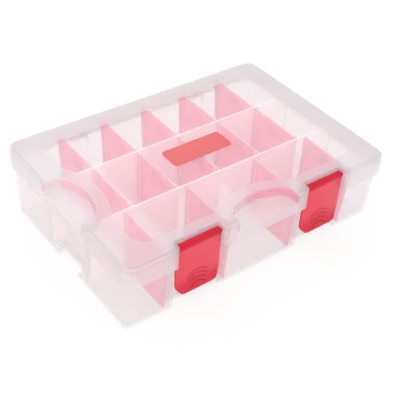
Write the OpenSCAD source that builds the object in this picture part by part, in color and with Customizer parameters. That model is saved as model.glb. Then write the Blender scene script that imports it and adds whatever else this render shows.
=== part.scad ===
// Translucent compartment case with a hinged lid, two snap latches and lift-out dividers.
// +X runs along the long front, +Y to the hinge side, +Z up; z = 0 is the surface it stands on.
// The origin is under the middle of the closed case's bounding box.

/* [Case] */
// Width over the lid
case_w = 318; // [290:2:340]
// Depth over the lid
case_d = 224; // [210:2:240]
// Height from the feet to the top of the lid
case_h = 80; // [74:1:88]
// Radius of the lid's upright corners
corner_r = 12; // [9:1:14]

/* [Lid] */
// Wall of the lid
lid_t = 1.8; // [1.4:0.1:2.2]
// Height of the lid's skirt
skirt_h = 23; // [21:0.5:25]
// Sideways room between skirt and tray
lid_gap = 1.2; // [1:0.1:1.6]
// Room between the lid's underside and what stands below it
top_gap = 0.4; // [0.3:0.1:0.8]
// Border from the lid's left and right edge to the sunk window
window_inset_x = 27.5; // [24:0.5:32]
// Border from the lid's front and back edge to the sunk window
window_inset_y = 24; // [22:0.5:28]
// Depth of the sunk window
window_sink = 2; // [1:0.2:2.6]
// Corner radius of the window
window_r = 14; // [10:1:20]
// Radius of the sweep between the window's straight edge and its bulges
window_sweep_r = 14; // [8:1:20]
// Rounding of the lid's top edge
edge_round = 2.4; // [1.5:0.1:3]

/* [Finger recesses] */
// Half the width of a recess in the lid
grip_half_w = 36; // [30:1:38]
// Reach of the front recess from the lid's edge
grip_front_d = 27; // [22:1:29]
// Reach of the left recess from the lid's edge
grip_left_d = 28.5; // [22:0.5:30]
// Depth of a recess below the lid's top
grip_depth = 12; // [9:0.5:13]
// Corner radius of a recess
grip_r = 14; // [8:1:18]
// Radius of the back of a recess
grip_back_r = 60; // [52:2:80]
// Number of fine ridges on the floor of a recess
ridge_n = 4; // [2:1:5]
// Pitch of the fine ridges
ridge_pitch = 2.6; // [2:0.2:3]
// Border between a recess and the window
grip_border = 12; // [9:1:13]
// Width of the finger notch under the left wall
notch_w = 38; // [24:1:44]
// Depth of the finger notch from the outside of the wall
notch_d = 8.5; // [6:0.5:10]
// Height of the finger notch
notch_h = 14; // [10:1:18]
// Depth of the panel that is set back in the left wall
panel_sink = 4.4; // [3:0.2:5]

/* [Tray] */
// Outer wall of the tray
wall_t = 1.6; // [1.2:0.1:2]
// Floor of the tray
floor_t = 1.8; // [1.4:0.1:2.4]
// How far the two end walls lean in at the bottom
draft_x = 0.4; // [0.2:0.1:2]
// How far the front and back wall lean in at the bottom
draft_y = 5.8; // [4:0.2:6.4]
// Radius of the tray's upright corners at the floor
floor_r = 5; // [4:0.5:8]
// Number of compartments along the front
columns = 6; // [6:1:6]
// Number of rows from front to back
rows = 3; // [3:1:3]
// Thickness of the two fixed walls
fixed_t = 1.6; // [1.2:0.1:2]
// Height of the feet
foot_h = 0.8; // [0.6:0.1:1.5]
// Length of a foot
foot_l = 9; // [6:1:14]
// Width of a foot
foot_w = 6; // [4:0.5:8]

/* [Dividers] */
// Thickness of a divider
divider_t = 1.4; // [1:0.1:1.8]
// Play between a divider and its slot, on each side
slot_play = 0.2; // [0.15:0.05:0.35]
// Thickness of the ribs that form a slot
rib_t = 1.4; // [1:0.1:1.8]
// Reach of the ribs from their wall
rib_reach = 6.5; // [4:0.5:8]
// How far a divider's top lies under the fixed walls' top
divider_drop = 0.8; // [0:0.2:3]
// Height of the raised arcs on a divider
arc_h = 0.4; // [0.3:0.1:0.6]
// Number of raised arcs
arc_n = 5; // [3:1:6]
// Pitch of the raised arcs
arc_pitch = 3; // [2.6:0.2:3.4]
// Radius of the largest raised arc
arc_r = 20; // [18:1:22]
// Distance of the largest arc below the divider's top
arc_drop = 7; // [5:0.5:12]

/* [Latches] */
// Width of a latch
latch_w = 50; // [46:0.5:52]
// Thickness of a latch's plate
latch_t = 2; // [1.6:0.1:2.4]
// Radius of the latch's barrel
latch_barrel_r = 3.4; // [3:0.1:3.6]
// Radius of the latch's stub pins
stub_r = 1.5; // [1.2:0.1:1.8]
// Running clearance of the stub pins and hinge pins, on the radius
pin_play = 0.06; // [0.04:0.01:0.1]
// How far the latch's face lies behind the front of its barrel
latch_set_back = 1.1; // [0.6:0.1:1.6]
// Depth of the lid's notch for a latch
bay_depth = 13; // [12:0.2:14]
// Radius of the lid's skirt where it turns into a notch
lid_bay_r = 4.6; // [3:0.2:5]
// Radius of the tray's front wall where it turns into a bay
bay_r = 6; // [4:0.5:6]
// Clearance round a latch in its bay
latch_gap = 0.35; // [0.3:0.05:0.5]
// Height of the latch's lower edge
latch_bottom = 16; // [12:1:20]
// How far the lower lip stands out
lip_out = 3.2; // [2:0.2:3.6]
// Radius of the latch's lower corners
latch_r = 12; // [8:1:14]
// Radius of the latch's upper corners
latch_top_r = 3; // [2:0.5:4]
// Number of raised grip arcs on a latch
grip_arc_n = 4; // [2:1:4]
// Pitch of the grip arcs
grip_arc_pitch = 5; // [4.6:0.1:5.2]
// Height of the hook's top above the floor the case stands on
hook_z = 39; // [36:1:44]
// Reach of the hook and of its catch
hook_reach = 1.2; // [0.8:0.1:1.4]

/* [Hinges] */
// Radius of the hinge barrels
barrel_r = 3.4; // [3:0.1:3.8]
// Radius of the hinge pins
pin_r = 1.4; // [1.1:0.1:1.6]
// Length of one hinge over its three barrels
hinge_l = 40; // [34:1:48]
// Length of the lid's barrel
lid_barrel_l = 19; // [14:1:22]
// Sideways room between barrels
barrel_gap = 0.5; // [0.3:0.1:0.8]
// How far the hinge axis lies behind the lid
axis_back = 1; // [0.8:0.1:1.4]

/* [Label] */
// Width of the plate on the window
label_w = 72; // [50:1:84]
// Depth of the plate
label_d = 27; // [18:1:34]
// Thickness of the plate
label_t = 0.4; // [0.3:0.1:0.8]
// Corner radius of the plate
label_r = 4; // [2:0.5:8]
// Place of the plate's middle behind the window's middle
label_y = 4; // [-20:1:20]

/* [Hidden] */
$fn = 64;
HULL_FN = 32;
EPS = 0.01;
FAR = 400;
// How far a cut runs past what it cuts
OVER = 1;

// The lid's underside and the walls below it
lid_r_in = corner_r - lid_t;
skirt_z = case_h - skirt_h;
border_under_z = case_h - lid_t;
window_z = case_h - window_sink;
window_under_z = window_z - lid_t;
wall_top_z = window_under_z - top_gap;
grip_z = case_h - grip_depth;
grip_under_z = grip_z - lid_t;
low_top_z = grip_under_z - top_gap;
ridge_h = 0.4;
ridge_w = 1;

// Outside of the tray at its rim
side_step = lid_t + lid_gap;
tray_w = case_w - 2 * side_step;
tray_d = case_d - 2 * side_step;
tray_r = corner_r - side_step;
floor_z = foot_h + floor_t;
panel_z = foot_h + 4;
foot_inset = 0.4;

// The grid inside the tray
pitch_x = (tray_w - 2 * wall_t) / columns;
pitch_y = (tray_d - 2 * wall_t) / rows;
fixed_y = [for (i = [1:rows - 1]) (i - rows / 2) * pitch_y];
slot_w = divider_t + 2 * slot_play;
divider_top = wall_top_z - divider_drop;
arc_w = 1.2;

// The latch bays: the tray's wall steps back, and the lid's skirt follows it inside
latch_x = pitch_x * (columns / 4);
lid_notch_half = latch_w / 2 + latch_gap;
lid_bay_half = lid_notch_half + lid_t;
bay_half = lid_bay_half + lid_gap / 4;
bay_wall_y = -(case_d / 2 - bay_depth - lid_t - lid_gap);
lid_notch_y = -(case_d / 2 - bay_depth);
rib_to_bay = 0.8;
beside_bay = bay_half + bay_r + slot_w / 2 + rib_to_bay;
end_y = tray_d / 2 - wall_t - draft_y;
end_lean = draft_y * (divider_top - floor_z) / (wall_top_z - floor_z);

// The latch's pivot
pivot_y = lid_notch_y - latch_gap - latch_barrel_r;
barrel_below_top = 3.9;
pivot_z = case_h - latch_barrel_r - barrel_below_top;
latch_half = latch_w / 2;
latch_out_y = pivot_y - latch_barrel_r + latch_set_back;
latch_in_y = latch_out_y + latch_t;
stub_l = lid_bay_half - latch_half;
stub_reach = lid_bay_half + 0.2;
catch_tip_y = bay_wall_y - hook_reach;
catch_z = hook_z + 0.4;
catch_edge = 0.8;
catch_h = 3;
hook_play = 0.1;
hook_tip_y = catch_tip_y - hook_play;
hook_edge = 0.9;
hook_h = 4;
hook_side = 6;
lip_r = 3.2 * lip_out;
nub = [1.8, 1.2, 1.9];
nub_out = 0.55 * latch_barrel_r;
grip_arc_z = hook_z - 1;
grip_arc_r = 18;
grip_arc_step = 1.5;
grip_arc_w = 1.4;
grip_arc_h = 0.6;

// The hinge's axis
axis_y = case_d / 2 + axis_back;
axis_z = skirt_z;
hinge_back = axis_back + barrel_r;
tray_web_h = 4 * barrel_r;
lid_gusset_h = 3 * barrel_r;
centre_y = -hinge_back / 2;

CLEAR = [0.9, 0.9, 0.92, 0.55];
ROSE = [0.95, 0.62, 0.68, 0.8];
RED = [0.86, 0.2, 0.26];
STEEL = [0.7, 0.7, 0.72];

// Puts the case's middle, hinge barrels included, over the origin
module placed() {
    translate([0, centre_y, 0]) children();
}

// A rectangle with round corners, about the origin
module round_rect(w, d, r) {
    square([w - 2 * r, d], center = true);
    square([w, d - 2 * r], center = true);
    for (sx = [-1, 1], sy = [-1, 1])
        translate([sx * (w / 2 - r), sy * (d / 2 - r)]) circle(r = r);
}

module slab(w, d, r, z, t) {
    translate([0, 0, z]) linear_extrude(t) round_rect(w, d, r);
}

// A block between two corners
module block(low, high) {
    translate(low) cube(high - low);
}

// The D of a finger recess: x is the reach from the edge, y runs along the edge
module grip_shape(reach, half_w, grow = 0) {
    back_x = reach - grip_back_r;
    side_y = half_w - grip_r;
    side_x = back_x + sqrt(pow(grip_back_r - grip_r, 2) - side_y * side_y);
    translate([-FAR, -half_w - grow]) square([FAR + side_x, 2 * (half_w + grow)]);
    for (s = [-1, 1]) translate([side_x, s * side_y]) circle(r = grip_r + grow);
    intersection() {
        translate([back_x, 0]) circle(r = grip_back_r + grow, $fn = 128);
        translate([back_x, 0]) polygon([
            [0, 0],
            3 * [side_x - back_x, side_y],
            3 * [side_x - back_x, -side_y]
        ]);
    }
}

// Fine ridges on a recess's floor, following its back
module grip_ridges(reach) {
    translate([reach - grip_back_r, 0]) intersection() {
        for (i = [1:ridge_n]) ring(grip_back_r - ridge_w - i * ridge_pitch, ridge_w);
        polygon([[0, 0], [FAR, 0.36 * FAR], [FAR, -0.36 * FAR]]);
    }
}

module left_grip(grow = 0) {
    translate([-case_w / 2, 0]) grip_shape(grip_left_d, grip_half_w, grow);
}

module front_grip(grow = 0) {
    translate([0, -case_d / 2]) rotate(90) grip_shape(grip_front_d, grip_half_w, grow);
}

// The sunk window, with its edge bulging round the two finger recesses
module window_shape(grow = 0) {
    difference() {
        round_rect(
            case_w - 2 * window_inset_x + 2 * grow,
            case_d - 2 * window_inset_y + 2 * grow,
            window_r + grow
        );
        translate([-case_w / 2, 0]) rotate(-90)
            bulge(window_inset_x, grip_left_d + grip_border, 90, grow);
        translate([0, -case_d / 2])
            bulge(window_inset_y, grip_front_d + grip_border, 62, grow);
    }
}

// A round bulge of the border with swept ends: y is the reach from the edge
module bulge(line, reach, r, grow) {
    sweep = window_sweep_r;
    y = line + sweep - (reach - r);
    x = sqrt(pow(r + sweep, 2) - y * y);
    translate([0, reach - r]) {
        circle(r = r - grow, $fn = 128);
        for (s = [-1, 1]) difference() {
            polygon([[0, 0], [s * (x + 1.2), y], [s * (x - 1.2), y - sweep - 3]]);
            translate([s * x, y]) circle(r = sweep + grow);
        }
    }
}

// Left and right: a hinge stands behind each latch
module both_sides() {
    for (s = [-1, 1]) translate([s * latch_x, 0, 0]) children();
}

// A latch bay seen from above, with the front at front_y rounding into it
module bay_plan(half, wall_y, front_y, r, grow) {
    difference() {
        union() {
            translate([-half - grow, -FAR]) square([2 * (half + grow), FAR + wall_y + grow]);
            translate([-half - r, -FAR]) square([2 * (half + r), FAR + front_y + r]);
        }
        for (s = [-1, 1]) translate([s * (half + r), front_y + r]) circle(r = r - grow);
    }
}

// A cylinder along X about its middle
module rod(r, l) {
    rotate([0, 90, 0]) cylinder(r = r, h = l, center = true);
}

// A profile in the YZ plane, extruded along X about its middle
module along_x(l) {
    rotate([90, 0, 90]) linear_extrude(l, center = true) children();
}

// ---------------------------------------------------------------- tray

module tray() {
    color(CLEAR) placed() difference() {
        union() {
            tray_shell();
            fixed_walls();
            slot_ribs();
            catches();
            feet();
            tray_barrels();
        }
        grip_room();
        panel_block(0);
        both_sides() translate([0, axis_y, axis_z]) rod(pin_r + pin_play, hinge_l + 2 * OVER);
    }
}

// Tapered shell: outside less inside, with the bays and the finger notch stepped in
module tray_shell() {
    difference() {
        tray_outside();
        difference() {
            tray_inside();
            both_sides() linear_extrude(FAR) tray_bay(wall_t);
            notch_block(wall_t);
            panel_block(wall_t);
        }
        both_sides() translate([0, 0, -OVER]) linear_extrude(FAR) tray_bay(0);
        notch_block(0);
    }
}

module tray_bay(grow) {
    bay_plan(bay_half, bay_wall_y, -tray_d / 2, bay_r, grow);
}

module tray_outside() {
    hull() {
        slab(tray_w, tray_d, tray_r, wall_top_z - EPS, EPS, $fn = HULL_FN);
        slab(tray_w - 2 * draft_x, tray_d - 2 * draft_y, floor_r, foot_h, EPS, $fn = HULL_FN);
    }
}

module tray_inside() {
    w = tray_w - 2 * wall_t;
    d = tray_d - 2 * wall_t;
    hull() {
        slab(w, d, tray_r - wall_t, wall_top_z, EPS, $fn = HULL_FN);
        slab(w - 2 * draft_x, d - 2 * draft_y, floor_r - wall_t, floor_z, EPS, $fn = HULL_FN);
    }
}

// The finger notch with round upper corners, reaching in from the left
module notch_block(grow) {
    depth = notch_d + grow;
    translate([-tray_w / 2 + depth - FAR, 0, foot_h]) rotate([90, 0, 90]) linear_extrude(FAR)
        round_rect(notch_w + 2 * grow, 2 * (notch_h + grow), notch_d / 2 + grow);
}

// The left wall is set back between the sides of the lid's recess
module panel_block(grow) {
    x = -tray_w / 2 + panel_sink + grow;
    block([-FAR, -grip_half_w - grow, panel_z], [x, grip_half_w + grow, FAR]);
}

module fixed_walls() {
    intersection() {
        tray_outside();
        for (y = fixed_y)
            block([-FAR, y - fixed_t / 2, foot_h], [FAR, y + fixed_t / 2, wall_top_z]);
    }
}

// Where a row has its dividers: the front row's stand beside the latch bays
function row_places(row) =
    row == 0
        ? [for (side = [-1, 1], s = [-1, 1]) side * latch_x + s * beside_bay]
        : [for (c = [1:columns - 1]) (c - columns / 2) * pitch_x];

// Front and back end of a row of dividers at the floor, and how far it leans out at the top
function row_front(row) = row == 0 ? -end_y : fixed_y[row - 1] + fixed_t / 2;
function row_back(row) = row == rows - 1 ? end_y : fixed_y[row] - fixed_t / 2;
function front_lean(row) = row == 0 ? end_lean : 0;
function back_lean(row) = row == rows - 1 ? end_lean : 0;

// Pairs of upright ribs that hold the dividers' ends
module slot_ribs() {
    into_wall = wall_t / 2;
    for (row = [0:rows - 1], x = row_places(row), s = [-1, 1])
        translate([x + s * (slot_w + rib_t) / 2, 0, 0]) {
            upright(
                rib_t, row_front(row) - into_wall, row_front(row) + rib_reach,
                -front_lean(row), -front_lean(row), floor_z - EPS
            );
            upright(
                rib_t, row_back(row) - rib_reach, row_back(row) + into_wall,
                back_lean(row), back_lean(row), floor_z - EPS
            );
        }
}

// A plate that stands on the floor, with its two ends leaning by the given amounts
module upright(t, y0, y1, lean0, lean1, z = floor_z) {
    along_x(t) polygon([
        [y0, z],
        [y1, z],
        [y1 + lean1, divider_top],
        [y0 + lean0, divider_top]
    ]);
}

// Ribs across the bays that the latches' hooks sit under
module catches() {
    both_sides() along_x(latch_w - 2 * hook_side) polygon([
        [bay_wall_y + wall_t / 2, catch_z],
        [catch_tip_y, catch_z],
        [catch_tip_y, catch_z + catch_edge],
        [bay_wall_y, catch_z + catch_h],
        [bay_wall_y + wall_t / 2, catch_z + catch_h]
    ]);
}

module feet() {
    x = tray_w / 2 - draft_x - foot_w / 2 - foot_inset;
    y = tray_d / 3;
    for (sx = [-1, 1], sy = [-1, 1])
        block(
            [sx * x - foot_w / 2, sy * y - foot_l / 2, 0],
            [sx * x + foot_w / 2, sy * y + foot_l / 2, foot_h + floor_t / 2]
        );
}

// The walls stay below the lid's recesses
module grip_room() {
    translate([0, 0, low_top_z]) linear_extrude(FAR) {
        left_grip(lid_t + 2 * lid_gap);
        front_grip(lid_t + lid_gap);
    }
}

// Middle of the back wall's thickness at a height
function mid_wall_y(z) =
    (tray_d - wall_t) / 2 - draft_y * (wall_top_z - z) / (wall_top_z - foot_h);

// Outer barrels of the two hinges, on webs from the back wall
module tray_barrels() {
    l = (hinge_l - lid_barrel_l) / 2 - barrel_gap;
    low_z = axis_z - tray_web_h;
    high_z = axis_z + barrel_r;
    both_sides() for (s = [-1, 1]) translate([s * (hinge_l - l) / 2, 0, 0]) {
        translate([0, axis_y, axis_z]) rod(barrel_r, l);
        along_x(l) polygon([
            [mid_wall_y(low_z), low_z],
            [axis_y, axis_z - barrel_r],
            [axis_y, high_z],
            [mid_wall_y(high_z), high_z]
        ]);
    }
}

// ---------------------------------------------------------------- lid

module lid() {
    color(CLEAR) placed() difference() {
        union() {
            difference() {
                lid_outside();
                lid_inside();
            }
            translate([0, 0, window_under_z]) linear_extrude(case_h - window_under_z)
                window_shape(lid_t);
            grip_tubs();
            lid_bays();
            lid_barrels();
        }
        translate([0, 0, window_z]) linear_extrude(FAR) window_shape();
        difference() {
            translate([0, 0, grip_z]) linear_extrude(FAR) {
                left_grip();
                front_grip();
            }
            translate([0, 0, grip_z - EPS]) linear_extrude(ridge_h + EPS) {
                translate([-case_w / 2, 0]) grip_ridges(grip_left_d);
                translate([0, -case_d / 2]) rotate(90) grip_ridges(grip_front_d);
            }
        }
        both_sides() linear_extrude(FAR) lid_bay(0);
        both_sides() translate([0, pivot_y, pivot_z]) rod(stub_r + pin_play, 2 * stub_reach);
        hinge_room();
        both_sides() translate([0, axis_y, axis_z]) rod(pin_r + pin_play, hinge_l);
    }
}

module lid_outside() {
    hull() {
        slab(case_w, case_d, corner_r, skirt_z, skirt_h - edge_round, $fn = HULL_FN);
        for (a = [30, 60, 90])
            slab(
                case_w - 2 * edge_round * (1 - cos(a)),
                case_d - 2 * edge_round * (1 - cos(a)),
                corner_r - edge_round * (1 - cos(a)),
                case_h - edge_round * (1 - sin(a)) - EPS, EPS, $fn = HULL_FN
            );
    }
}

module lid_inside() {
    translate([0, 0, -OVER]) linear_extrude(border_under_z + OVER)
        round_rect(case_w - 2 * lid_t, case_d - 2 * lid_t, lid_r_in);
}

// Walls and floors of the finger recesses
module grip_tubs() {
    intersection() {
        slab(case_w, case_d, corner_r, grip_under_z, border_under_z - grip_under_z + EPS);
        linear_extrude(FAR) {
            left_grip(lid_t);
            front_grip(lid_t);
        }
    }
}

module lid_bay(grow) {
    bay_plan(lid_notch_half, lid_notch_y, -case_d / 2, lid_bay_r, grow);
}

// The skirt follows the tray into the latch bays
module lid_bays() {
    intersection() {
        both_sides() translate([0, 0, skirt_z])
            linear_extrude(border_under_z - skirt_z + EPS) lid_bay(lid_t);
        block([-FAR, -(case_d - lid_t) / 2, skirt_z], [FAR, 0, case_h]);
    }
}

// Middle barrels of the two hinges, each on a gusset from the skirt
module lid_barrels() {
    y_in = case_d / 2 - lid_t;
    both_sides() {
        translate([0, axis_y, axis_z]) rod(barrel_r, lid_barrel_l);
        along_x(lid_barrel_l) polygon([
            [y_in, skirt_z],
            [axis_y + barrel_r, axis_z],
            [axis_y + barrel_r, axis_z + barrel_r / 2],
            [case_d / 2, axis_z + lid_gusset_h],
            [y_in, axis_z + lid_gusset_h]
        ]);
    }
}

// Room in the skirt for the tray's barrels
module hinge_room() {
    l = (hinge_l - lid_barrel_l) / 2;
    both_sides() for (s = [-1, 1]) translate([s * (hinge_l + barrel_gap - l + EPS) / 2, 0, 0])
        block(
            [-(l + barrel_gap) / 2, tray_d / 2 - OVER, skirt_z - OVER],
            [(l + barrel_gap) / 2, FAR, axis_z + 1.5 * barrel_r]
        );
}

module label_plate() {
    color(RED) placed() translate([0, label_y, window_z]) linear_extrude(label_t)
        round_rect(label_w, label_d, label_r);
}

// ---------------------------------------------------------------- latches

module latch(s) {
    color(RED) placed() translate([s * latch_x, 0, 0]) {
        translate([0, pivot_y, pivot_z]) rod(stub_r, 2 * (latch_half + stub_l));
        intersection() {
            union() {
                along_x(latch_w) latch_profile();
                translate([0, pivot_y, pivot_z]) rod(latch_barrel_r, latch_w);
            }
            latch_front();
        }
        translate([0, latch_out_y, 0]) grip_arcs();
        along_x(latch_w - 2 * hook_side) polygon([
            [latch_in_y - latch_t / 2, hook_z],
            [hook_tip_y, hook_z],
            [hook_tip_y, hook_z - hook_edge],
            [latch_in_y, hook_z - hook_h],
            [latch_in_y - latch_t / 2, hook_z - hook_h]
        ]);
        translate([0, pivot_y + nub_out, pivot_z + nub_out])
            rotate([45, 0, 0]) cube(nub, center = true);
    }
}

// Side view of the plate, with its lip curving out below
module latch_profile() {
    lip_y = latch_out_y - lip_r;
    lip_z = latch_bottom + lip_r;
    translate([latch_out_y, lip_z]) square([latch_t, pivot_z - lip_z]);
    intersection() {
        difference() {
            translate([lip_y, lip_z]) circle(r = lip_r + latch_t);
            translate([lip_y, lip_z]) circle(r = lip_r);
        }
        translate([latch_out_y - lip_out, latch_bottom]) square([2 * lip_r, lip_r]);
    }
}

// Front view of a latch: large round corners at the bottom, small ones at the top
module latch_front() {
    top = pivot_z + latch_barrel_r;
    rotate([90, 0, 0]) linear_extrude(FAR) {
        translate([0, (latch_bottom + pivot_z) / 2])
            round_rect(latch_w, pivot_z - latch_bottom, latch_r);
        translate([0, (hook_z + top) / 2]) round_rect(latch_w, top - hook_z, latch_top_r);
    }
}

// Raised arcs that a finger pulls on, each a little smaller than the one above
module grip_arcs() {
    rotate([90, 0, 0]) translate([0, 0, -EPS]) linear_extrude(grip_arc_h)
        for (i = [0:grip_arc_n - 1]) {
            r = grip_arc_r - grip_arc_step * i;
            translate([0, grip_arc_z - i * grip_arc_pitch - r]) intersection() {
                ring(r, grip_arc_w);
                polygon([[0, 0], [-0.9 * FAR, FAR], [0.9 * FAR, FAR]]);
            }
        }
}

module ring(r, t) {
    difference() {
        circle(r = r + t / 2);
        circle(r = r - t / 2);
    }
}

module hinge_pin(s) {
    color(STEEL) placed() translate([s * latch_x, axis_y, axis_z]) rod(pin_r, hinge_l - 1);
}

// ---------------------------------------------------------------- dividers

// A removable divider: a plain plate with a fan of raised arcs on both faces
module divider(row, i) {
    y0 = row_front(row) + slot_play;
    y1 = row_back(row) - slot_play;
    color(ROSE) placed() translate([row_places(row)[i - 1], 0, 0]) {
        upright(divider_t, y0, y1, -front_lean(row), back_lean(row));
        translate([0, (y0 + y1) / 2, divider_top - arc_drop - arc_r]) divider_arcs();
    }
}

module divider_arcs() {
    along_x(divider_t + 2 * arc_h) intersection() {
        for (i = [0:arc_n - 1]) ring(arc_r - i * arc_pitch, arc_w);
        polygon([[0, 0], [-1.2 * FAR, FAR], [1.2 * FAR, FAR]]);
    }
}

tray();
lid();
label_plate();
latch(-1);  // latch_left
latch(1);  // latch_right
hinge_pin(-1);  // hinge_pin_left
hinge_pin(1);  // hinge_pin_right
divider(2, 1);  // divider_back_1
divider(2, 2);  // divider_back_2
divider(2, 3);  // divider_back_3
divider(2, 4);  // divider_back_4
divider(2, 5);  // divider_back_5
divider(1, 1);  // divider_middle_1
divider(1, 2);  // divider_middle_2
divider(1, 3);  // divider_middle_3
divider(1, 4);  // divider_middle_4
divider(1, 5);  // divider_middle_5
divider(0, 1);  // divider_front_1
divider(0, 2);  // divider_front_2
divider(0, 3);  // divider_front_3
divider(0, 4);  // divider_front_4
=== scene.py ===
import math

import bmesh
import bpy
from mathutils import Euler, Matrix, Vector


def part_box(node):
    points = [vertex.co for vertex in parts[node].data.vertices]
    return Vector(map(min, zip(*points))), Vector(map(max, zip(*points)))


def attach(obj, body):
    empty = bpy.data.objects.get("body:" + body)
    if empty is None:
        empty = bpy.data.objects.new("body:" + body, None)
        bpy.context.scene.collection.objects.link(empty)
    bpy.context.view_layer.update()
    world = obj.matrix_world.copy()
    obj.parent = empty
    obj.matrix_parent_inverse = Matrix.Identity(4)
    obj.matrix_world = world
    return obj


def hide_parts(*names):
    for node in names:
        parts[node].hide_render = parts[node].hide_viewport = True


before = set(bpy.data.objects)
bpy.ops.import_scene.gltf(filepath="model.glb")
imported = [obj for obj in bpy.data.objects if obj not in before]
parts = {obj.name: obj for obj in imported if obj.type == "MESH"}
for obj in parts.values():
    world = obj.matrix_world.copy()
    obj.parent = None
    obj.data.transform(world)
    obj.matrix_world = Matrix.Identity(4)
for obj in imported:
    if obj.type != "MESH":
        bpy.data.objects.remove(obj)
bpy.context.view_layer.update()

# Camera: a medium telephoto view from the front left, looking down on the lid. It stands
# about 0.9 m away, where the two finger recesses and both latches show.
camera = bpy.data.objects.new("camera", bpy.data.cameras.new("camera"))
bpy.context.scene.collection.objects.link(camera)
camera.location = (-0.43396, -0.54368, 0.57924)
camera.rotation_euler = Euler([math.radians(a) for a in (52.1585, -3.7818, -37.7169)])
camera.data.sensor_width = 36
camera.data.lens = 75.594
camera.data.shift_x = -0.05
camera.data.shift_y = -0.05
camera.data.clip_end = 20
bpy.context.scene.camera = camera


# Studio: a white sweep lit evenly from all round, with one large soft lamp above the
# left front and a weaker one behind. The sweep is a floor that keeps a faint shadow
# under the case. Light passes many sheets of plastic, so it may bounce many times.
class Feed:
    """A shader socket. An expression adds its Math nodes, and | is the larger of two."""

    def __init__(self, socket):
        self.socket = socket

    @classmethod
    def start(cls, owner, kind, out):
        owner.use_nodes = True
        owner.node_tree.nodes.clear()
        return cls(owner.node_tree.nodes.new(kind).outputs[out])

    def node(self, kind, values, out=0, **settings):
        tree = self.socket.id_data
        made = tree.nodes.new(kind)
        for name, value in settings.items():
            setattr(made, name, value)
        for name, value in values.items():
            if isinstance(value, Feed):
                tree.links.new(value.socket, made.inputs[name])
            else:
                made.inputs[name].default_value = value
        return Feed(made.outputs[out]) if len(made.outputs) else made

    def sums(self, operation, a, b=0.0, c=0.0):
        return self.node("ShaderNodeMath", {0: a, 1: b, 2: c}, operation=operation)

    def __add__(self, other):
        return self.sums("ADD", self, other)

    def __sub__(self, other):
        return self.sums("SUBTRACT", self, other)

    def __rsub__(self, other):
        return self.sums("SUBTRACT", other, self)

    def __mul__(self, other):
        return self.sums("MULTIPLY", self, other)

    def __or__(self, other):
        return self.sums("MAXIMUM", self, other)

    def __abs__(self):
        return self.sums("ABSOLUTE", self)

    __radd__ = __add__
    __rmul__ = __mul__
    __ror__ = __or__

    def root(self):
        return self.sums("SQRT", self)

    def split(self):
        made = self.node("ShaderNodeSeparateXYZ", {0: self}).socket.node
        return [Feed(made.outputs[i]) for i in range(3)]

    def noise(self, scale, detail):
        return self.node("ShaderNodeTexNoise", {"Vector": self, "Scale": scale, "Detail": detail})

    def ramp(self, low, high, to_low=0.0, to_high=1.0, kind="SMOOTHSTEP"):
        return self.node(
            "ShaderNodeMapRange",
            {"Value": self, "From Min": low, "From Max": high, "To Min": to_low, "To Max": to_high},
            interpolation_type=kind,
        )

    def blend(self, to_low, to_high):
        """Takes a mask from one value where it is 0 to another where it is 1."""
        return self.ramp(0, 1, to_low, to_high, "LINEAR")

    def above(self, edge, soft):
        """1 above a value and 0 below it, with a soft step between."""
        return self.ramp(edge - soft, edge + soft)

    def below(self, edge, soft):
        """1 below a value and 0 above it, with a soft step between."""
        return self.ramp(edge + soft, edge - soft)

    def band(self, low, high, soft=0.0001):
        """1 between two values, with a soft step at each."""
        return self.above(low, soft) * self.below(high, soft)

    def tint(self, first, second):
        """The first colour where this mask is 0, and the second where it is 1."""
        colours = [c if isinstance(c, Feed) else (*c, 1) for c in (first, second)]
        values = {"Factor": self, 6: colours[0], 7: colours[1]}
        return self.node("ShaderNodeMix", values, out=2, data_type="RGBA")


def seen_rays(owner):
    """1 on the rays that show the white: to the camera, off gloss or through plastic."""
    camera_ray = Feed.start(owner, "ShaderNodeLightPath", "Is Camera Ray")
    rays = camera_ray.socket.node.outputs
    return camera_ray | Feed(rays["Is Glossy Ray"]) | Feed(rays["Is Transmission Ray"])


world = bpy.data.worlds.new("studio")
bpy.context.scene.world = world
seen = seen_rays(world)
lit = seen.node("ShaderNodeBackground", {"Color": (0.99, 0.99, 1, 1), "Strength": 1.0})
white = seen.node("ShaderNodeBackground", {"Color": (1, 1, 1, 1), "Strength": 1.0})
sky = seen.node("ShaderNodeMixShader", {0: seen, 1: lit, 2: white})
seen.node("ShaderNodeOutputWorld", {"Surface": sky})

floor_half = 3
floor_corners = [(x * floor_half, y * floor_half, 0) for x, y in ((-1, -1), (1, -1), (1, 1), (-1, 1))]
floor_glow = 0.72  # the share of the floor's white that no shadow takes
floor_mesh = bpy.data.meshes.new("studio_floor")
floor_mesh.from_pydata(floor_corners, [], [(0, 1, 2, 3)])
floor = bpy.data.objects.new("studio_floor", floor_mesh)
bpy.context.scene.collection.objects.link(floor)
floor_white = bpy.data.materials.new("studio_white")
seen = seen_rays(floor_white)
paper = seen.node("ShaderNodeBsdfPrincipled", {"Base Color": (0.93, 0.93, 0.93, 1), "Roughness": 0.9})
glow = seen.node("ShaderNodeEmission", {"Color": (1, 1, 1, 1), "Strength": 1.0})
sheet = seen.node("ShaderNodeMixShader", {0: seen * floor_glow, 1: paper, 2: glow})
seen.node("ShaderNodeOutputMaterial", {"Surface": sheet})
floor_mesh.materials.append(floor_white)

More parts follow.
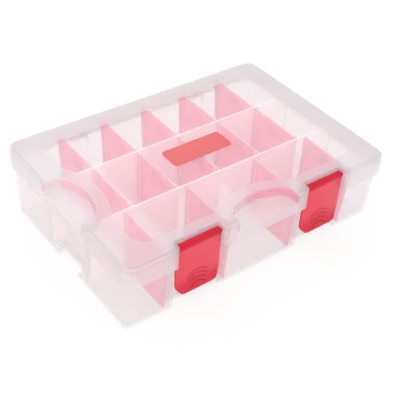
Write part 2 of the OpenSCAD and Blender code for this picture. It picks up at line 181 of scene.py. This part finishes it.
for name, place, size, watts in (
    ("key", (-0.9, -0.9, 1.5), 1.2, 8),
    ("back", (0.5, 1.2, 1.3), 1.0, 4),
):
    lamp = bpy.data.objects.new(name, bpy.data.lights.new(name, "AREA"))
    bpy.context.scene.collection.objects.link(lamp)
    lamp.location = place
    to_case = Vector((0, 0, 0.05)) - Vector(place)
    lamp.rotation_euler = to_case.to_track_quat("-Z", "Y").to_euler()
    lamp.data.size = size
    lamp.data.energy = watts
bpy.context.scene.view_settings.view_transform = "Standard"
bpy.context.scene.cycles.max_bounces = 24
bpy.context.scene.cycles.transmission_bounces = 24
bpy.context.scene.cycles.transparent_max_bounces = 24


# Tray: one moulding in natural polypropylene. It holds the two fixed walls, the slot
# ribs, the latch bays, the feet and the outer hinge barrels. The sheet is milky but
# clear enough to show the dividers behind it. Where it is seen end on it carries a
# painted highlight, and its fixed walls are painted lighter, with a painted glow,
# against the shade inside the case.
natural = (0.975, 0.95, 0.96)
natural_outside = (0.85, 0.815, 0.828)
end_highlight_white = (1.0, 0.985, 0.99)
middle_shift = 0.0022  # how far the case's own middle lies in front of the origin
inner_half_w = 0.1515
fixed_wall_y = 0.0357
fixed_wall_half = 0.0015
rib_end_y = (0.0285, 0.0431)
rib_end_half = 0.0003
rim = 0.0004  # how far down a sheet's top edge is painted whiter, as a painted highlight


def start_surface(name):
    """A new material, and the place on the object that its nodes start from."""
    made = bpy.data.materials.new(name)
    return made, Feed.start(made, "ShaderNodeTexCoord", "Object")


def sheet_plastic(
    place, tone, cover, rough, through, haze=0.0, haze_tone=natural, painted_glow=0.0, painted_glow_tone=None
):
    """Moulded plastic that lets light through. Cover is how much it hides of what lies
    behind, haze is the share of light that soaks through it, and the emission it is given
    is a painted glow, standing for the light that the sheet scatters inside itself."""
    grain = place.noise(1400, 3)
    cloud = place.noise(22, 2)
    skin = place.node(
        "ShaderNodeBump", {"Height": grain * 0.5 + cloud, "Strength": 0.25, "Distance": 0.0001}
    )
    if not isinstance(tone, Feed):
        tone = cloud.ramp(0.3, 0.7).tint(tone, [c * 0.98 for c in tone])
    plastic = place.node(
        "ShaderNodeBsdfPrincipled",
        {
            "Base Color": tone,
            "Roughness": rough,
            "IOR": 1.08,
            "Transmission Weight": through,
            "Coat Weight": 0.35,
            "Coat Roughness": 0.22,
            "Alpha": cover,
            "Emission Color": painted_glow_tone or tone,
            "Emission Strength": painted_glow,
            "Normal": skin,
        },
    )
    soaked = place.node("ShaderNodeBsdfTranslucent", {"Color": (*haze_tone, 1)})
    both = place.node("ShaderNodeMixShader", {0: haze, 1: plastic, 2: soaked})
    place.node("ShaderNodeOutputMaterial", {"Surface": both})


def dress(piece, material):
    """Puts one material on the whole of a piece."""
    piece.data.materials.clear()
    piece.data.materials.append(material)


tray_clear, place = start_surface("tray_clear")
x, y, z = place.split()
y = abs(y + middle_shift)
tray_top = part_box("tray")[1][2]
inside = abs(x).below(inner_half_w, 0.0005)
wall_tops = z.above(tray_top - rim, 0.0002)
near_end, far_end = [y.band(end - rib_end_half, end + rib_end_half) for end in rib_end_y]
# Painted highlight: the wall tops and rib ends, seen end on, are painted whiter.
ends = wall_tops | (near_end + far_end) * z.band(0.004, tray_top) * inside
fixed_walls = y.band(fixed_wall_y - fixed_wall_half, fixed_wall_y + fixed_wall_half)
fixed_walls = fixed_walls * z.above(0.0035, 0.0005) * inside
# Painted light: the fixed walls are painted lighter than the outer walls and given a painted glow,
# against the shade inside the case.
sheet_plastic(
    place,
    ends.tint(fixed_walls.tint(natural_outside, natural), end_highlight_white),
    cover=(ends | fixed_walls * 0.45).blend(0.18, 0.8),
    rough=0.2,
    through=0.4,
    haze=0.06,
    painted_glow=0.15,
    painted_glow_tone=fixed_walls.tint((0.3, 0.29, 0.29), natural),
)
dress(parts["tray"], tray_clear)


# Dividers: fourteen thin plates in translucent red polypropylene, slid into the slot
# ribs from above. Their top edges carry a painted highlight, and fine arcs are moulded
# on them, in a fan below the middle of the top edge, painted a darker red as their
# shade. The red sheet is given a painted glow.
rose = (0.98, 0.50, 0.61)
rose_arc_shade = (0.84, 0.42, 0.53)
rose_edge_highlight = (1.0, 0.84, 0.88)
rose_haze = (1.0, 0.5, 0.62)
wall_draft = 0.0058  # how far the tray's front and back walls lean in at the floor
arc_middle_drop = 0.027
arc_r = 0.020
arc_inner_r = 0.0070
arc_half_pitch = 0.0015
arc_fan = 1.2  # half the fan's width over its height

divider_rose, place = start_surface("divider_rose")
x, y, z = place.split()
y = abs(y + middle_shift)
divider_low, divider_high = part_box("divider_back_1")
outer_row_y = (divider_low[1] + divider_high[1] - wall_draft) / 2 + middle_shift
row_y = y.ramp(fixed_wall_y, fixed_wall_y + 0.0002, 0.0, outer_row_y)
along = y - row_y
up = z - (divider_high[2] - arc_middle_drop)
reach = (along * along + up * up).root()
# Painted shade: the moulded arcs are painted a darker red.
arcs = reach.sums("PINGPONG", reach - arc_r, arc_half_pitch).below(0.0006, 0.0002)
arcs = arcs * reach.band(arc_inner_r, arc_r + 0.0008)
arcs = arcs * up.sums("LESS_THAN", abs(along), up * arc_fan)
# Painted highlight: the top edge is painted lighter.
top_edge_highlight = z.above(divider_high[2] - rim, 0.0002)
sheet_plastic(
    place,
    top_edge_highlight.tint(arcs.tint(rose, rose_arc_shade), rose_edge_highlight),
    cover=0.6,
    rough=0.3,
    through=0.2,
    haze=0.2,
    haze_tone=rose_haze,
    # a painted glow that stands for light scattered in the red plastic
    painted_glow=0.14,
)
for name, part in parts.items():
    if name.startswith("divider"):
        dress(part, divider_rose)


# Lid: one moulding in the same natural plastic, frosted on its border and skirt and
# smoother in the sunk window and the two finger recesses. The recess walls are painted
# with the dividers' red seen through them, the skirt is painted lighter than the top,
# and a dark line of painted shade runs along the top edge. It holds the latch bays'
# back walls and the middle hinge barrels.
frosted = (0.80, 0.77, 0.782)
skirt_painted_light_tone = (0.88, 0.85, 0.862)
crease_shade_tone = (0.58, 0.56, 0.57)
glazed = (0.89, 0.865, 0.875)
painted_divider_red = (0.94, 0.52, 0.60)
lid_plan = (0.159, 0.112, 0.012)  # half width, half depth and corner radius
window_plan = (0.1315, 0.088, 0.014)
window_depth = 0.0044
left_bulge_x, left_bulge_r = -0.2085, 0.090
front_bulge_y, front_bulge_r = -0.135, 0.062
bulge_sweep = 0.006
recess_left_x = -0.128
recess_front_y = -0.083
recess_half_w = 0.038
recess_depth = 0.012
wall_foot = 0.0006  # where a recess's walls rise from its floor
bay_x = 0.0772
bay_half_w = 0.02725
bay_back_y = -0.0967
bay_depth = 0.012
crease_in = 0.0028  # from the lid's edge to the fold that runs along it, where a dark line of painted shade lies
crease_half = 0.0006


def plan_edge(x, y, half_w, half_d, corner):
    """How far a point lies outside a rectangle with round corners, seen from above."""
    past_x = (abs(x) - (half_w - corner)) | 0.0
    past_y = (abs(y) - (half_d - corner)) | 0.0
    return (past_x * past_x + past_y * past_y).root() - corner


lid_clear, place = start_surface("lid_clear")
x, y, z = place.split()
y = y + middle_shift
lid_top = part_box("lid")[1][2]

from_left = x - left_bulge_x
from_front = y - front_bulge_y
left_bulge = left_bulge_r - (from_left * from_left + y * y).root()
front_bulge = front_bulge_r - (x * x + from_front * from_front).root()
edge = x.sums("SMOOTH_MAX", plan_edge(x, y, *window_plan), left_bulge, bulge_sweep)
edge = x.sums("SMOOTH_MAX", edge, front_bulge, bulge_sweep)
window = edge.below(0.0023, 0.0003) * z.band(lid_top - window_depth, lid_top - 0.0003, 0.0002)

left_recess = x.below(recess_left_x, 0.0005) * abs(y).below(recess_half_w, 0.0005)
front_recess = y.below(recess_front_y, 0.0005) * abs(x).below(recess_half_w, 0.0005)
recesses = (left_recess | front_recess) * z.below(lid_top - 0.002, 0.0005)
recess_floor = lid_top - recess_depth
recess_walls = recesses * z.above(recess_floor + wall_foot, 0.0004)
recess_floors = recesses * z.below(recess_floor + wall_foot, 0.0004)
ridges = recesses * z.band(recess_floor + 0.0002, recess_floor + 0.0005)

bay_backs = y.below(bay_back_y, 0.0002) * abs(abs(x) - bay_x).below(bay_half_w, 0.00025)
bay_backs = bay_backs * z.band(lid_top - bay_depth, lid_top - 0.0004)
# Painted shade: a dark line along the lid's top edge, where its rounding meets the top.
crease_shade_line = plan_edge(x, y, *lid_plan).band(-crease_in - crease_half, -crease_in + crease_half, 0.0003)
crease_shade_line = crease_shade_line * z.above(lid_top - 0.0005, 0.0005)
# Painted light: the skirt is painted lighter than the top border.
skirt = z.below(lid_top - 0.005, 0.001)
clear = window | recess_walls * 0.8

tone = crease_shade_line.tint(skirt.tint(frosted, skirt_painted_light_tone), crease_shade_tone)
tone = (clear | recess_floors * 0.7).tint(tone, glazed)
# Painted light: the recess walls are painted with the dividers' red seen through them.
tone = recess_walls.tint(tone, painted_divider_red)
cover = clear.blend(0.54, 0.21) | ridges * 0.6 | crease_shade_line * 0.8 | bay_backs * 0.7 | recess_floors * 0.62
sheet_plastic(
    place,
    ridges.tint(tone, natural),
    cover=cover,
    rough=clear.blend(0.3, 0.1),
    through=0.5,
    haze=0.06,
)
dress(parts["lid"], lid_clear)


# Label: a thin flat plate with round corners in opaque red plastic. It is bare, and
# glued on the lid's window near the middle.
label_tone = (0.70, 0.13, 0.13)

label_red, place = start_surface("label_red")
sheet_plastic(place, label_tone, cover=1.0, rough=0.45, through=0.0)
dress(parts["label_plate"], label_red)


# Latches: two flat opaque red mouldings that swing on stub pins in the lid's bays. The
# mould leaves every edge slightly round. The barrel along the top and the lip along the
# bottom are painted a darker red as shade, and a painted shadow lies under each raised
# grip arc.
face_red = (0.79, 0.08, 0.11)
latch_shade_red = (0.62, 0.012, 0.035)
grip_shadow_red = (0.42, 0.008, 0.025)
latch_barrel_d = 0.0069
lip_middle = 0.013
lip_soft = 0.011
grip_n = 4
grip_top = 0.022
grip_pitch = 0.005
grip_r = 0.018
grip_r_step = 0.0015
grip_fan = 0.9  # half a grip arc's width over its height
edge_r = 0.0004

latch_red, place = start_surface("latch_red")
x, y, z = place.split()
latch_low, latch_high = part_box("latch_left")
x = abs(x) + (latch_low[0] + latch_high[0]) / 2
# Painted shade: the barrel along the top and the lip along the bottom are painted a darker red.
barrel = z.above(latch_high[2] - latch_barrel_d, 0.0009)
lip = z.below(latch_low[2] + lip_middle, lip_soft)
# Painted shadow: a dark band just under each raised grip arc.
grip_shadows = 0.0
for i in range(grip_n):
    radius = grip_r - grip_r_step * i
    up = z - (latch_low[2] + grip_top - grip_pitch * i - radius)
    reach = (x * x + up * up).root() - radius
    arc = reach.band(-0.0011, -0.0001, 0.0002) * x.sums("LESS_THAN", abs(x), up * grip_fan)
    grip_shadows = arc | grip_shadows
sheet_plastic(
    place,
    grip_shadows.tint((barrel | lip * 0.7).tint(face_red, latch_shade_red), grip_shadow_red),
    cover=1.0,
    rough=0.35,
    through=0.0,
    haze=0.05,
    haze_tone=face_red,
)


def round_edges(node, body, width):
    """A copy of a piece with its edges rounded, which stands for the plain one."""
    piece = bpy.data.objects.new(node + "_moulded", parts[node].data.copy())
    bpy.context.scene.collection.objects.link(piece)
    shape = bmesh.new()
    shape.from_mesh(piece.data)
    bmesh.ops.remove_doubles(shape, verts=shape.verts, dist=1e-6)
    bmesh.ops.dissolve_limit(
        shape, angle_limit=math.radians(0.5), verts=shape.verts, edges=shape.edges
    )
    shape.to_mesh(piece.data)
    shape.free()
    bevel = piece.modifiers.new("edges", "BEVEL")
    bevel.width = width
    bevel.segments = 2
    bevel.limit_method = "ANGLE"
    bevel.angle_limit = math.radians(38)
    bevel.miter_outer = "MITER_ARC"
    finished = piece.evaluated_get(bpy.context.evaluated_depsgraph_get())
    mesh = bpy.data.meshes.new_from_object(finished)
    piece.modifiers.clear()
    piece.data = mesh
    mesh.shade_smooth()
    mesh.set_sharp_from_angle(angle=math.radians(32))
    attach(piece, body)
    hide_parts(node)
    return piece


for side in ("left", "right"):
    latch = round_edges("latch_" + side, side + "_latch", edge_r)
    dress(latch, latch_red)


# Hinge pins: two lengths of white plastic rod, pressed through the barrels of the tray
# and the lid. Pressing leaves them finely marked.
rod_white = (0.9, 0.89, 0.89)
rod_worn = (0.95, 0.94, 0.94)

pin_white, place = start_surface("pin_white")
marks = place.noise(900, 4)
rod = place.node(
    "ShaderNodeBsdfPrincipled",
    {"Base Color": marks.tint(rod_white, rod_worn), "Roughness": marks.ramp(0.3, 0.7, 0.35, 0.5)},
)
place.node("ShaderNodeOutputMaterial", {"Surface": rod})
for side in ("left", "right"):
    dress(parts["hinge_pin_" + side], pin_white)
